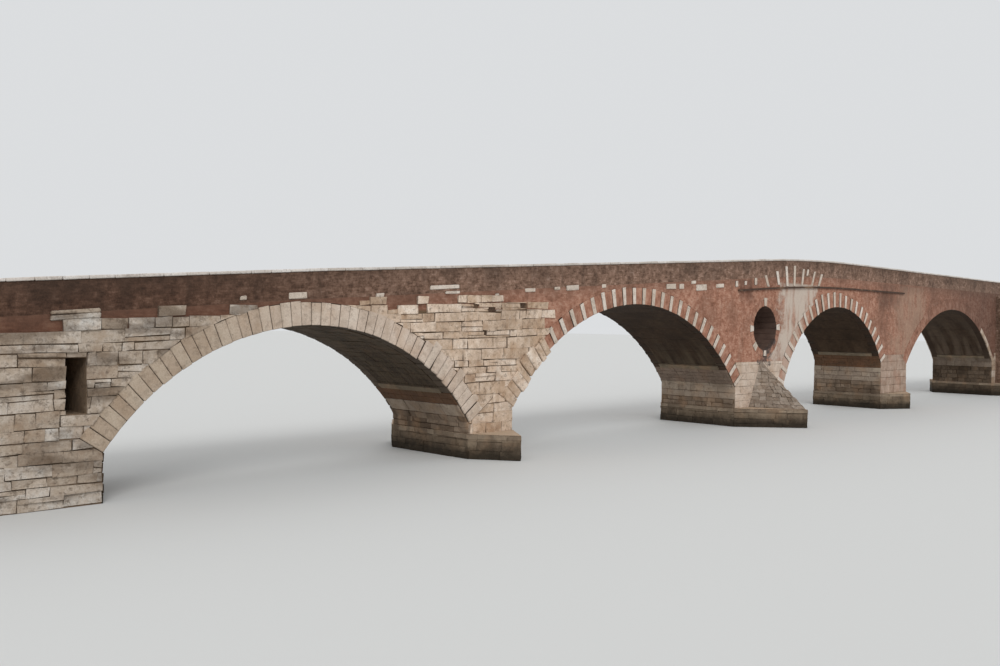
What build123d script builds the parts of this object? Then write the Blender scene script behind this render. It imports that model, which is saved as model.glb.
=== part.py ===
from build123d import *
import os
from dataclasses import dataclass
from math import acos, cos, pi, sin, sqrt

# A five-arch masonry bridge as a 1:10 scale model, in millimetres.
# X runs along the bridge, Y across it, Z up from the river's level.
# The origin is midway along the bridge and midway between the tips of its longest front and
# back noses, at the river's level. Sizes across the bridge are drawn from its middle line,
# and the finished pieces are moved from there.

# Arches from left to right: clear spans, and heights of crowns and springings
arch_spans = [1809, 2161, 1655, 2210, 1684]
crown_heights = [657, 806, 850, 883, 850]
left_springings = [185, 247, 259, 368, 340]
right_springings = [185, 272, 395, 360, 340]

# Piers from left to right: widths, heights of their stone bases, footings and noses
pier_widths = [300, 659, 525, 520]
pier_tops = [420, 438, 461, 450]
plinth_tops = [125, 125, 130, 130]
front_noses = [218, 363, 148, 318]
back_noses = [200, 220, 130, 130]

# End blocks
abutment_left_length = 791
abutment_right_length = 886
abutment_height = 580

# Widths across the bridge
bridge_width = 600
wall_thickness = 50
ring_depth = 60

# Arch masonry
ring_thickness = 98
mortar_joint = 2
bed_joint = 0.6
voussoir_width = 49
edge_stone_width = 32
brick_pack_width = 66
brick_voussoir_width = 98
barrel_course_width = 150

# Impost courses in the barrels: height over the higher springing of each arch
impost_lifts = [150, 118, 58, 26, 90]
impost_height = 25
impost_projection = 10

# Coping, parapet and road, as depths below the coping's top
coping_thickness = 14
coping_overhang = 6
parapet_height = 118
road_depth = 115
deck_thickness = 22

# Road line: masonry between ring and deck over arches 1 and 4, and where the road bends
first_backing = 9
level_backing = 92
left_end_drop = 133
right_end_drop = 153
level_lead = 391
level_tail = 323
road_curve_radius = 20000

# String course over arch 3, which starts and ends beyond the arch's feet
string_depth = 203
string_height = 13
string_projection = 12
string_lead = 640
string_tail = 446

# Round flood opening over pier 2
oculus_radius = 157
oculus_height = 673
oculus_offset = 57
oculus_lining_thickness = 45
oculus_blocks = 24

# Footings and the cutwaters on pier 2's footing
plinth_margin = 10
slab_thickness = 25
slab_overhang = 5
cutwater_width = 304
cutwater_height = 317
cutwater_setback = 20

# Doorway recess in the left abutment
recess_width = 74
recess_height = 200
recess_sill = 330
recess_depth = 250
recess_to_arch = 59

# Pilaster on pier 4
buttress_width = 300
buttress_projection = 120
buttress_height = 1060
buttress_slope = 90


@dataclass
class Arch:
    """A circular arch between two pier faces."""
    left_x: float
    span: float
    crown_z: float
    left_spring_z: float
    right_spring_z: float
    impost_lift: float

    @property
    def right_x(self):
        return self.left_x + self.span

    @property
    def left_half(self):
        """Distance from the left pier face to the crown."""
        left_rise = self.crown_z - self.left_spring_z
        right_rise = self.crown_z - self.right_spring_z
        b = 2 * left_rise * self.span
        c = left_rise * (right_rise * (left_rise - right_rise) - self.span**2)
        return -2 * c / (b + sqrt(b**2 - 4 * (right_rise - left_rise) * c))

    @property
    def crown_x(self):
        return self.left_x + self.left_half

    @property
    def radius(self):
        rise = self.crown_z - self.left_spring_z
        return (self.left_half**2 + rise**2) / (2 * rise)

    @property
    def centre_z(self):
        return self.crown_z - self.radius

    @property
    def outer_radius(self):
        return self.radius + ring_thickness

    @property
    def left_angle(self):
        return -self.angle_at(self.left_spring_z)

    @property
    def right_angle(self):
        return self.angle_at(self.right_spring_z)

    @property
    def impost_z(self):
        return max(self.left_spring_z, self.right_spring_z) + self.impost_lift

    def angle_at(self, z):
        """The angle from the crown's upright at which the arch has a height."""
        return acos((z - self.centre_z) / self.radius)

    def point(self, radius, angle):
        return (self.crown_x + radius * sin(angle), self.centre_z + radius * cos(angle))


@dataclass
class Pier:
    """A pier between two arches, with its footing."""
    left_x: float
    width: float
    top_z: float
    plinth_z: float
    front_nose: float
    back_nose: float

    @property
    def right_x(self):
        return self.left_x + self.width

    @property
    def centre_x(self):
        return self.left_x + self.width / 2

    def nose(self, side):
        """Length of the footing's nose at the front (-1) or at the back (1)."""
        return self.front_nose if side < 0 else self.back_nose


# Places along the bridge, worked out from the spans and widths
bridge_length = abutment_left_length + sum(arch_spans) + sum(pier_widths) + abutment_right_length
left_end = -bridge_length / 2
right_end = bridge_length / 2
arches = []
piers = []
place = left_end + abutment_left_length
for index, span in enumerate(arch_spans):
    heights = (crown_heights[index], left_springings[index], right_springings[index])
    arches.append(Arch(place, span, *heights, impost_lifts[index]))
    place += span
    if index < len(pier_widths):
        footing = (plinth_tops[index], front_noses[index], back_noses[index])
        piers.append(Pier(place, pier_widths[index], pier_tops[index], *footing))
        place += pier_widths[index]

# The bridge's middle line lies behind the origin, because the front noses reach further
middle_y = (max(front_noses) - max(back_noses)) / 2

# Planes across the bridge, and depths of the parapet's foot and the deck's underside
face_y = bridge_width / 2
inner_y = face_y - wall_thickness
barrel_y = face_y - ring_depth
parapet_depth = coping_thickness + parapet_height
deck_underside = road_depth + deck_thickness

# Height of the coping over arch 1 and over the level stretch
first_top = arches[0].crown_z + ring_thickness + first_backing + deck_underside
level_top = arches[3].crown_z + ring_thickness + level_backing + deck_underside


def prism(outline, y_from, y_to):
    """Extrude an outline drawn in X and Z across the bridge."""
    return extrude(Plane.XZ.offset(-y_to) * outline, y_to - y_from)


def polygon(*corners):
    return make_face(Polyline(*corners, close=True))


def block(x_from, x_to, z_from, z_to):
    return polygon((x_from, z_from), (x_to, z_from), (x_to, z_to), (x_from, z_to))


def both_sides(outline, y_from, y_to):
    """The same piece at the front and at the back."""
    return prism(outline, -y_to, -y_from) + prism(outline, y_from, y_to)


def save(name, *shapes):
    """Save a piece, moved from the bridge's middle line to its place."""
    solids = [Pos(0, middle_y, 0) * solid for shape in shapes for solid in shape.solids()]
    export_step(Compound(solids), f"parts/{name}.step")


def road_line(depth):
    """The road's line over the whole bridge, at a depth below the coping's top."""
    corners = [
        (left_end, first_top - left_end_drop - depth),
        (arches[0].crown_x, first_top - depth),
        (arches[2].left_x + level_lead, level_top - depth),
        (arches[4].left_x + level_tail, level_top - depth),
        (right_end, level_top - right_end_drop - depth),
    ]
    return FilletPolyline(*corners, radius=road_curve_radius)


def road_band(upper_depth, lower_depth):
    """The outline between two depths below the coping's top."""
    upper = road_line(upper_depth)
    lower = road_line(lower_depth)
    ends = [Line(upper @ 0, lower @ 0), Line(upper @ 1, lower @ 1)]
    return make_face(Curve() + upper + lower + ends)


def arch_outline(arch, thickness):
    """The opening under an arch with its ring, down to below the river."""
    outer = arch.radius + thickness
    outer_left = arch.point(outer, arch.left_angle)
    outer_right = arch.point(outer, arch.right_angle)
    extrados = ThreePointArc(outer_left, arch.point(outer, 0), outer_right)
    legs = Polyline(
        outer_right,
        (arch.right_x, arch.right_spring_z),
        (arch.right_x, -1),
        (arch.left_x, -1),
        (arch.left_x, arch.left_spring_z),
        outer_left,
    )
    return make_face(Curve() + extrados + legs)


def masonry_below(depth):
    """The outline of all masonry from the river up to a depth below the coping's top."""
    upper = road_line(depth)
    foot = Polyline(upper @ 0, (left_end, 0), (right_end, 0), upper @ 1)
    outline = make_face(Curve() + upper + foot)
    for arch in arches:
        outline -= arch_outline(arch, ring_thickness + bed_joint)
    return outline - Pos(oculus_x, oculus_height) * Circle(oculus_outer + bed_joint)


def wedge(centre, inner, outer, start, end, start_gap, end_gap):
    """A block between two radii and two angles, less half a joint at each gap."""
    corners = []
    for radius, order in ((inner, 1), (outer, -1)):
        ends = [start + start_gap / 2 / radius, end - end_gap / 2 / radius]
        for angle in ends[::order]:
            corners.append((centre[0] + radius * sin(angle), centre[1] + radius * cos(angle)))
    return polygon(*corners)


def arch_blocks(arch, edges, inner, y_from, y_to):
    """Wedge blocks between the given angles, which bed on each other and on the springings."""
    centre = (arch.crown_x, arch.centre_z)
    blocks = []
    for start, end in zip(edges, edges[1:]):
        start_gap = 0 if start == arch.left_angle else mortar_joint
        end_gap = 0 if end == arch.right_angle else mortar_joint
        outline = wedge(centre, inner, arch.outer_radius, start, end, start_gap, end_gap)
        blocks.append(prism(outline, y_from, y_to))
    return blocks


def even_edges(arch, start, end, width):
    """Angles that divide a stretch of an arch into equal blocks of about one width."""
    middle = arch.radius + ring_thickness / 2
    count = max(1, round((end - start) * middle / width))
    steps = [start + (end - start) * step / count for step in range(1, count)]
    return [start] + steps + [end]


def alternating_edges(arch):
    """Angles of narrow white stones with a brick pack between each two."""
    middle = arch.radius + ring_thickness / 2
    length = (arch.right_angle - arch.left_angle) * middle
    pairs = round(length / (edge_stone_width + brick_pack_width))
    widths = [edge_stone_width, brick_pack_width] * pairs + [edge_stone_width]
    turn = (arch.right_angle - arch.left_angle) / sum(widths)
    edges = [arch.left_angle]
    for width in widths[:-1]:
        edges.append(edges[-1] + turn * width)
    return edges + [arch.right_angle]


def save_ring(name, arch, edges, first=0, step=1):
    """Save every so many blocks of a ring, for both faces of the bridge."""
    front = arch_blocks(arch, edges, arch.radius, -face_y, -barrel_y)
    back = arch_blocks(arch, edges, arch.radius, barrel_y, face_y)
    save(name, *front[first::step], *back[first::step])


def barrel_courses(arch):
    """A barrel's courses and its two impost courses, which stand out of the curve."""
    low = arch.angle_at(arch.impost_z)
    high = arch.angle_at(arch.impost_z + impost_height)
    courses = []
    for start, end in ((arch.left_angle, -low), (-high, high), (low, arch.right_angle)):
        edges = even_edges(arch, start, end, barrel_course_width)
        courses += arch_blocks(arch, edges, arch.radius, -barrel_y, barrel_y)
    imposts = []
    for edges in ((-low, -high), (high, low)):
        inner = arch.radius - impost_projection
        imposts += arch_blocks(arch, edges, inner, -barrel_y, barrel_y)
    return courses, imposts


def footing_plan(pier, inset):
    """The pointed outline of a footing, with a nose on each side."""
    left = pier.left_x - plinth_margin + inset
    right = pier.right_x + plinth_margin - inset
    corners = []
    for side, ends in ((-1, (left, right)), (1, (right, left))):
        nose_y = side * (face_y + pier.nose(side) - inset)
        corners += [(ends[0], side * face_y), (pier.centre_x, nose_y), (ends[1], side * face_y)]
    return polygon(*corners)


def plinth(pier):
    """A pointed footing under a thin slab that stands out all round."""
    base = extrude(footing_plan(pier, slab_overhang), pier.plinth_z - slab_thickness)
    slab = extrude(footing_plan(pier, 0), slab_thickness)
    return base + Pos(0, 0, pier.plinth_z - slab_thickness) * slab


def cutwater(pier, side):
    """Half a pyramid on a footing's nose, against the pier's face."""
    half = cutwater_width / 2
    z = pier.plinth_z
    nose_y = side * (face_y + pier.nose(side) - cutwater_setback)
    foot = [
        (pier.centre_x - half, side * face_y, z),
        (pier.centre_x + half, side * face_y, z),
        (pier.centre_x, nose_y, z),
    ]
    apex = Vertex(pier.centre_x, side * face_y, z + cutwater_height)
    return Solid.make_loft([Wire.make_polygon(foot), apex], ruled=True)


os.makedirs("parts", exist_ok=True)
oculus_x = piers[1].centre_x + oculus_offset
oculus_outer = oculus_radius + oculus_lining_thickness

# Face walls, and the backing between them, in zones from crown to crown
wall_outline = masonry_below(parapet_depth)
backing_outline = masonry_below(deck_underside)
zone_edges = [left_end] + [arch.crown_x for arch in arches] + [right_end]
zone_feet = [abutment_height] + [pier.top_z for pier in piers] + [abutment_height]
for number, foot in enumerate(zone_feet, 1):
    zone = block(zone_edges[number - 1], zone_edges[number], foot, level_top)
    save(f"spandrel_{number}", both_sides(wall_outline & zone, inner_y, face_y))
    save(f"haunch_{number}", prism(backing_outline & zone, -inner_y, inner_y))

# Abutments, the left one with its doorway recess
left_block = block(left_end, arches[0].crown_x, 0, abutment_height)
right_block = block(arches[-1].crown_x, right_end, 0, abutment_height)
recess_right = arches[0].left_x - recess_to_arch
recess_top = recess_sill + recess_height
recess_outline = block(recess_right - recess_width, recess_right, recess_sill, recess_top)
recess = prism(recess_outline, -face_y, recess_depth - face_y)
save("abutment_left", prism(wall_outline & left_block, -face_y, face_y) - recess)
save("abutment_right", prism(wall_outline & right_block, -face_y, face_y))

# Piers on their footings
for number, pier in enumerate(piers, 1):
    shaft = block(zone_edges[number], zone_edges[number + 1], pier.plinth_z, pier.top_z)
    save(f"pier_{number}", prism(wall_outline & shaft, -face_y, face_y))
    save(f"plinth_{number}", plinth(pier))
save("cutwaters_2", cutwater(piers[1], -1), cutwater(piers[1], 1))

# Barrels with their impost courses
all_imposts = []
for number, arch in enumerate(arches, 1):
    courses, imposts = barrel_courses(arch)
    save(f"barrel_{number}", *courses)
    all_imposts += imposts
save("impost_courses", *all_imposts)

# Rings: white stone in arch 1, stone and brick by turns in arches 2 and 3, then brick
first, second, third, fourth, fifth = arches
first_edges = even_edges(first, first.left_angle, first.right_angle, voussoir_width)
save_ring("ring_1_stones", first, first_edges)
for number, arch in ((2, second), (3, third)):
    save_ring(f"ring_{number}_stones", arch, alternating_edges(arch), first=0, step=2)
    save_ring(f"ring_{number}_bricks", arch, alternating_edges(arch), first=1, step=2)
for number, arch in ((4, fourth), (5, fifth)):
    edges = even_edges(arch, arch.left_angle, arch.right_angle, brick_voussoir_width)
    save_ring(f"ring_{number}_bricks", arch, edges)

# Lining of the round opening, in wedge blocks that run right through
turns = [2 * pi * step / oculus_blocks for step in range(oculus_blocks + 1)]
lining = []
for start, end in zip(turns, turns[1:]):
    centre = (oculus_x, oculus_height)
    outline = wedge(centre, oculus_radius, oculus_outer, start, end, mortar_joint, mortar_joint)
    lining.append(prism(outline, -face_y, face_y))
save("oculus_lining", *lining)

# Road, parapets and copings
save("road_deck", prism(road_band(road_depth, deck_underside), -inner_y, inner_y))
parapet = road_band(coping_thickness, parapet_depth)
save("parapet_front", prism(parapet, -face_y, -inner_y))
save("parapet_back", prism(parapet, inner_y, face_y))
coping = road_band(0, coping_thickness)
coping_inner = inner_y - coping_overhang
coping_outer = face_y + coping_overhang
save("coping_front", prism(coping, -coping_outer, -coping_inner))
save("coping_back", prism(coping, coping_inner, coping_outer))

# Ledge along the faces above arch 3
string_span = block(third.left_x - string_lead, third.right_x + string_tail, 0, level_top)
string_outline = road_band(string_depth, string_depth + string_height) & string_span
save("string_course", both_sides(string_outline, face_y, face_y + string_projection))

# Pilaster on pier 4's front, with a sloped top
buttress_y = face_y + buttress_projection
side_view = polygon(
    (-face_y, piers[3].plinth_z),
    (-buttress_y, piers[3].plinth_z),
    (-buttress_y, buttress_height - buttress_slope),
    (-face_y, buttress_height),
)
start_plane = Plane.YZ.offset(piers[3].centre_x - buttress_width / 2)
save("buttress_4", extrude(start_plane * side_view, buttress_width))
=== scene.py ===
import math
import random
from dataclasses import dataclass

import bpy
from mathutils import Matrix, Vector


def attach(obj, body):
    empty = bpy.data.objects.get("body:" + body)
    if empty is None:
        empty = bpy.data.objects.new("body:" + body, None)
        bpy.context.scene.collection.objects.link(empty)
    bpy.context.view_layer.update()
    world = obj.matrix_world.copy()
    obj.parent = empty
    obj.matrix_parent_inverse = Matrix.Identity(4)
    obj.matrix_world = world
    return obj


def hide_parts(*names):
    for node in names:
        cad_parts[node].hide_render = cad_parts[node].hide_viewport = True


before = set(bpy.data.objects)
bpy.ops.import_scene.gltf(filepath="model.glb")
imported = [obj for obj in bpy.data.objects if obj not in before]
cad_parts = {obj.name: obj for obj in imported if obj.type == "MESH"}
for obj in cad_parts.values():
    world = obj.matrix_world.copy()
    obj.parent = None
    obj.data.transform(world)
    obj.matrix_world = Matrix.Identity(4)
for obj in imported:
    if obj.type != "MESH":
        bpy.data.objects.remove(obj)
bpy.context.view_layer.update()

# All sizes are in millimetres of the 1:10 model, and the meshes and patterns turn them to metres.
mm = 0.001

# Arches and piers from left to right, as they are built
arch_spans = [1809, 2161, 1655, 2210, 1684]
crown_heights = [657, 806, 850, 883, 850]
left_springings = [185, 247, 259, 368, 340]
right_springings = [185, 272, 395, 360, 340]
pier_widths = [300, 659, 525, 520]
pier_tops = [420, 438, 461, 450]
plinth_tops = [125, 125, 130, 130]
front_noses = [218, 363, 148, 318]
back_noses = [200, 220, 130, 130]
impost_heights = [335, 390, 453, 394, 430]
abutment_left_length = 791
abutment_height = 580

# Widths across the bridge, from its middle line, which lies behind the origin
middle_y = (max(front_noses) - max(back_noses)) / 2
face_y = 300
ring_depth = 60
barrel_y = face_y - ring_depth
ring_thickness = 98

# Road line: the coping's top over the left end, arch 1, the level stretch and the right end
left_end = -6600
right_end = 6600
first_top = 901
level_top = 1210
left_end_drop = 133
right_end_drop = 153
level_lead = 391
level_tail = 323
road_curve_radius = 20000
coping_overhang = 6
coping_thickness = 14
coping_slab = 11.5
wall_thickness = 50

# Masonry: courses, joints, how deep stones are bedded and how far they stand out
joint = 1.6
wall_joint = 2.6
ashlar_course = 41
ashlar_length = 118
wall_bedding = 8
wall_relief = 4
face_bedding = 6
face_relief = 3
inner_bedding = 4
voussoir_width = 49
edge_stone_width = 32
brick_pack_width = 66
brick_length = 25
brick_height = 6.5
mortar_bed = 1.1
sett_size = (14, 10)

# Doorway recess, round opening and cutwaters
recess_x = (-5942, -5868)
recess_z = (330, 530)
oculus_radius = 157
oculus_z = 673
oculus_offset = 57
cutwater_width = 304
cutwater_height = 317
cutwater_setback = 20
plinth_margin = 10
slab_thickness = 25
slab_overhang = 5

# Top of the limestone wall, and where it gives way to brick
limestone_top = [(-6600, 600), (-5960, 640), (-5820, 673), (-5636, 709), (-5436, 723), (-5219, 736)]
limestone_top += [(-4832, 758), (-4325, 795), (-3795, 812), (-3360, 822)]
limestone_end = -3400

# The wall's ragged edge: how far stones stop short of its top or pass it, how far they miss or pass
# its end, and how deep under the top and how often a stone is missing
ragged_top = (-14, 8)
ragged_end = (-60, 40)
missing_depth = 44
missing_share = 0.28
# How far stones reach under a ring, and the smallest areas of a stone in a wall and in a footing or
# an end wall, in square millimetres
ring_lap = 4
smallest_area = 90
smallest_facing = 200


@dataclass
class Arch:
    """A circular arch between two pier faces."""
    left_x: float
    span: float
    crown_z: float
    left_spring_z: float
    right_spring_z: float
    impost_z: float
    ring: float = ring_thickness

    def __post_init__(self):
        left_rise = self.crown_z - self.left_spring_z
        right_rise = self.crown_z - self.right_spring_z
        b = 2 * left_rise * self.span
        c = left_rise * (right_rise * (left_rise - right_rise) - self.span**2)
        left_half = -2 * c / (b + math.sqrt(b**2 - 4 * (right_rise - left_rise) * c))
        self.right_x = self.left_x + self.span
        self.crown_x = self.left_x + left_half
        self.radius = (left_half**2 + left_rise**2) / (2 * left_rise)
        self.centre_z = self.crown_z - self.radius
        self.left_angle = -self.angle_at(self.left_spring_z)
        self.right_angle = self.angle_at(self.right_spring_z)

    def angle_at(self, z):
        return math.acos((z - self.centre_z) / self.radius)

    def point(self, radius, angle):
        return (self.crown_x + radius * math.sin(angle), self.centre_z + radius * math.cos(angle))

    def side_x(self, side, z):
        """Where the opening ends at a height, on its left (-1) or right (1)."""
        spring_z = self.left_spring_z if side < 0 else self.right_spring_z
        if z < spring_z:
            return self.left_x if side < 0 else self.right_x
        return self.crown_x + side * math.sqrt(self.radius**2 - (z - self.centre_z)**2)


arches = []
pier_lefts = []
place_x = left_end + abutment_left_length
for index, span in enumerate(arch_spans):
    heights = (crown_heights[index], left_springings[index], right_springings[index])
    arches.append(Arch(place_x, span, *heights, impost_heights[index]))
    place_x += span
    if index < len(pier_widths):
        pier_lefts.append(place_x)
        place_x += pier_widths[index]
first, second, third, fourth, fifth = arches
oculus_x = pier_lefts[1] + pier_widths[1] / 2 + oculus_offset

road_corners = [(left_end, first_top - left_end_drop), (first.crown_x, first_top)]
road_corners += [(third.left_x + level_lead, level_top), (fifth.left_x + level_tail, level_top)]
road_corners += [(right_end, level_top - right_end_drop)]


def along(points, x):
    """Height of a line through points at x."""
    x = min(max(x, points[0][0]), points[-1][0])
    for (x0, z0), (x1, z1) in zip(points, points[1:]):
        if x0 <= x <= x1:
            return z0 + (z1 - z0) * (x - x0) / (x1 - x0)


def road_height(x):
    """Height of the coping's top, with the road's bends rounded."""
    z = along(road_corners, x)
    for before, here, after in zip(road_corners, road_corners[1:], road_corners[2:]):
        slope_in = (here[1] - before[1]) / (here[0] - before[0])
        slope_out = (after[1] - here[1]) / (after[0] - here[0])
        reach = abs(road_curve_radius * (slope_in - slope_out) / 2)
        past = reach - abs(x - here[0])
        if past > 0:
            z -= (slope_in - slope_out) * past**2 / (4 * reach)
    return z


# Flat outlines in X and Z, as lists of corners that run anticlockwise

def clip(outline, point, normal):
    """The part of a convex outline on the side of a line that its normal points to."""
    kept = []
    for here, there in zip(outline, outline[1:] + outline[:1]):
        a = (here[0] - point[0]) * normal[0] + (here[1] - point[1]) * normal[1]
        b = (there[0] - point[0]) * normal[0] + (there[1] - point[1]) * normal[1]
        if a >= 0:
            kept.append(here)
        if a * b < 0:
            share = a / (a - b)
            kept.append(tuple(here[k] + share * (there[k] - here[k]) for k in (0, 1)))
    return kept if len(kept) > 2 else []


def area(outline):
    pairs = zip(outline, outline[1:] + outline[:1])
    return sum(a[0] * b[1] - b[0] * a[1] for a, b in pairs) / 2


def middle(outline):
    return tuple(sum(corner[k] for corner in outline) / len(outline) for k in (0, 1))


def inset(outline, margin):
    """An outline with every side moved in by a margin."""
    result = outline
    for a, b in zip(outline, outline[1:] + outline[:1]):
        length = math.dist(a, b)
        if length > 0.01 and result:
            normal = (-(b[1] - a[1]) / length, (b[0] - a[0]) / length)
            result = clip(result, (a[0] + normal[0] * margin, a[1] + normal[1] * margin), normal)
    return result


def parts_around(outline, hole):
    """The convex parts of an outline that lie outside a convex hole."""
    parts = []
    rest = outline
    for a, b in zip(hole, hole[1:] + hole[:1]):
        outward = (b[1] - a[1], a[0] - b[0])
        part = clip(rest, a, outward)
        if part and area(part) > 1:
            parts.append(part)
        rest = clip(rest, a, (-outward[0], -outward[1]))
        if not rest or area(rest) < 1:
            return [outline]
    return parts


def parts_around_arch(outline, arch):
    """What is left of a stone outside an arch: above its ring, and beyond each bed it springs from."""
    outer = arch.radius + arch.ring - ring_lap
    centre = (arch.crown_x, arch.centre_z)
    above = outline
    parts = []
    for side, last, jamb_x in ((-1, arch.left_angle, arch.left_x), (1, arch.right_angle, arch.right_x)):
        beyond = (side * math.cos(last), -side * math.sin(last))
        parts.append(clip(clip(outline, centre, beyond), (jamb_x, 0), (side, 0)))
        above = clip(above, centre, (-beyond[0], -beyond[1]))
    if above:
        x, z = middle(above)
        angle = math.atan2(x - arch.crown_x, z - arch.centre_z)
        parts.append(clip(above, arch.point(outer, angle), (math.sin(angle), math.cos(angle))))
    parts = [part for part in parts if part]
    whole = sum(area(part) for part in parts) > 0.99 * area(outline)
    return [outline] if whole else parts


def rectangle(x0, x1, z0, z1):
    return [(x0, z0), (x1, z0), (x1, z1), (x0, z1)]


def coursed(x_from, x_to, z_from, z_to, course, length, draw, climb=0.0, wave=0.0, split=0.0):
    """Outlines of squared stones in courses on wandering beds, with some of two thin stones."""
    phase = draw.uniform(0, 6.3)

    def bed(z, x):
        return z + climb * z / z_to * (x - x_from) + wave * math.sin(x / 290 + z / 60 + phase)

    outlines = []
    z = z_from
    while z < z_to:
        height = course * draw.uniform(0.72, 1.32)
        x = x_from - draw.uniform(0, length)
        while x < x_to:
            width = length * draw.uniform(0.4, 1.7)
            levels = [z, z + height]
            if draw.random() < split:
                levels.insert(1, z + height * draw.uniform(0.38, 0.62))
            for low, high in zip(levels, levels[1:]):
                ends = (x, x + width)
                outline = [(end, bed(low, end)) for end in ends]
                outlines.append(outline + [(end, bed(high, end)) for end in ends[::-1]])
            x += width
        z += height
    return outlines


def trimmed(outlines, x_range, top, arch_list, holes=(), ragged=None, gap=joint):
    """Stones cut to a stretch of wall under a line. A ragged wall ends in whole stones and gaps."""
    result = []
    for outline in outlines:
        x, z = middle(outline)
        if ragged:
            below = top(x) - z + ragged.uniform(*ragged_top)
            missing = below < missing_depth and ragged.random() < missing_share
            if below < 0 or missing or x > x_range[1] + ragged.uniform(*ragged_end):
                continue
        else:
            outline = clip(clip(outline, (x_range[1], 0), (-1, 0)), (x, top(x)), (0, -1))
        outline = clip(clip(outline, (x_range[0], 0), (1, 0)), (0, 0.5), (0, 1))
        parts = [outline] if outline else []
        for arch in arch_list:
            parts = [cut for part in parts for cut in parts_around_arch(part, arch)]
        for hole in holes:
            parts = [cut for part in parts for cut in parts_around(part, hole)]
        for part in parts:
            part = inset(part, gap / 2)
            if part and area(part) > smallest_area:
                result.append(part)
    return result


# Outlines in space, which face away from the masonry

def facing(corners, direction):
    points = [Vector(corner) for corner in corners]
    normal = sum((a.cross(b) for a, b in zip(points, points[1:] + points[:1])), Vector())
    return points if normal.dot(Vector(direction)) > 0 else points[::-1]


def on_faces(outlines, y, sides=(-1, 1)):
    """Outlines laid on the front face, the back face or both."""
    placed = []
    for side in sides:
        for outline in outlines:
            placed.append(facing([(x, side * y, z) for x, z in outline], (0, side, 0)))
    return placed


# Nodes

MATH = "ShaderNodeMath"
MIX = "ShaderNodeMix"
NOISE = "ShaderNodeTexNoise"
RANGE = "ShaderNodeMapRange"
SPLIT = "ShaderNodeSeparateXYZ"
VECTOR = "ShaderNodeVectorMath"
COORDINATES = "ShaderNodeTexCoord"
RANDOM = "FunctionNodeRandomValue"


def colour(code):
    """An sRGB hex colour as linear RGBA."""
    channels = [int(code[i:i + 2], 16) / 255 for i in (1, 3, 5)]
    linear = [c / 12.92 if c <= 0.04045 else ((c + 0.055) / 1.055)**2.4 for c in channels]
    return (*linear, 1.0)


def add(tree, kind, inputs=(), out=0, stops=(), **settings):
    """Add a node with its settings and colour stops, and give an output, or the node where out is None.

    Its inputs are set or linked by key, or in their order."""
    made = tree.nodes.new(kind)
    for name, value in settings.items():
        setattr(made, name, value)
    for key, value in inputs.items() if isinstance(inputs, dict) else enumerate(inputs):
        if isinstance(value, bpy.types.NodeSocket):
            tree.links.new(value, made.inputs[key])
        else:
            made.inputs[key].default_value = value
    if stops:
        elements = made.color_ramp.elements
        while len(elements) < len(stops):
            elements.new(0.5)
        for element, (position, code) in zip(elements, stops):
            element.position = position
            element.color = colour(code)
    return made if out is None else made.outputs[out]


def set_input(modifier, name, value):
    """Set a tree's named input on a modifier."""
    for item in modifier.node_group.interface.items_tree:
        if item.item_type == "SOCKET" and item.in_out == "INPUT" and item.name == name:
            modifier[item.identifier] = value


def stone_laying_tree():
    """Raise each flat outline to a closed stone with its own height, tint and uneven corners."""
    tree = bpy.data.node_groups.new("stone_laying", "GeometryNodeTree")
    sockets = [("Outlines", "Geometry"), ("Height", "Float"), ("Unevenness", "Float")]
    sockets += [("Corner wear", "Float"), ("Seed", "Int"), ("Stone", "Material")]
    for name, kind in sockets:
        tree.interface.new_socket(name, in_out="INPUT", socket_type=f"NodeSocket{kind}")
    tree.interface.new_socket("Stones", in_out="OUTPUT", socket_type="NodeSocketGeometry")
    given = add(tree, "NodeGroupInput", out=None).outputs
    tint = add(tree, RANDOM, {"Seed": given["Seed"]}, 1, data_type="FLOAT")
    tinted = add(tree, "GeometryNodeStoreNamedAttribute", {
        "Geometry": given["Outlines"], "Name": "tint", "Value": tint}, data_type="FLOAT", domain="FACE")
    second_seed = add(tree, MATH, [given["Seed"], 7.0], operation="ADD")
    lift = add(tree, RANDOM, {2: 0.0, 3: given["Unevenness"], "Seed": second_seed}, 1, data_type="FLOAT")
    height = add(tree, MATH, [given["Height"], lift], operation="ADD")
    raised = add(tree, "GeometryNodeExtrudeMesh", {
        "Mesh": tinted, "Offset Scale": height, "Individual": True}, mode="FACES")
    backs = add(tree, "GeometryNodeFlipFaces", {"Mesh": tinted})
    joined = add(tree, "GeometryNodeJoinGeometry", out=None)
    tree.links.new(raised, joined.inputs[0])
    tree.links.new(backs, joined.inputs[0])
    closed = add(tree, "GeometryNodeMergeByDistance", {
        "Geometry": joined.outputs[0], "Distance": 0.05 * mm})
    wear = add(tree, RANDOM, {0: (-1.0, -1.0, -1.0), 1: (1.0, 1.0, 1.0), "Seed": given["Seed"]},
               data_type="FLOAT_VECTOR")
    shift = add(tree, VECTOR, {0: wear, "Scale": given["Corner wear"]}, operation="SCALE")
    worn = add(tree, "GeometryNodeSetPosition", {"Geometry": closed, "Offset": shift})
    real = add(tree, "GeometryNodeRealizeInstances", {"Geometry": worn})
    finished = add(tree, "GeometryNodeSetMaterial", {"Geometry": real, "Material": given["Stone"]})
    add(tree, "NodeGroupOutput", {"Stones": finished}, out=None)
    return tree


stone_laying = stone_laying_tree()


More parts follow.
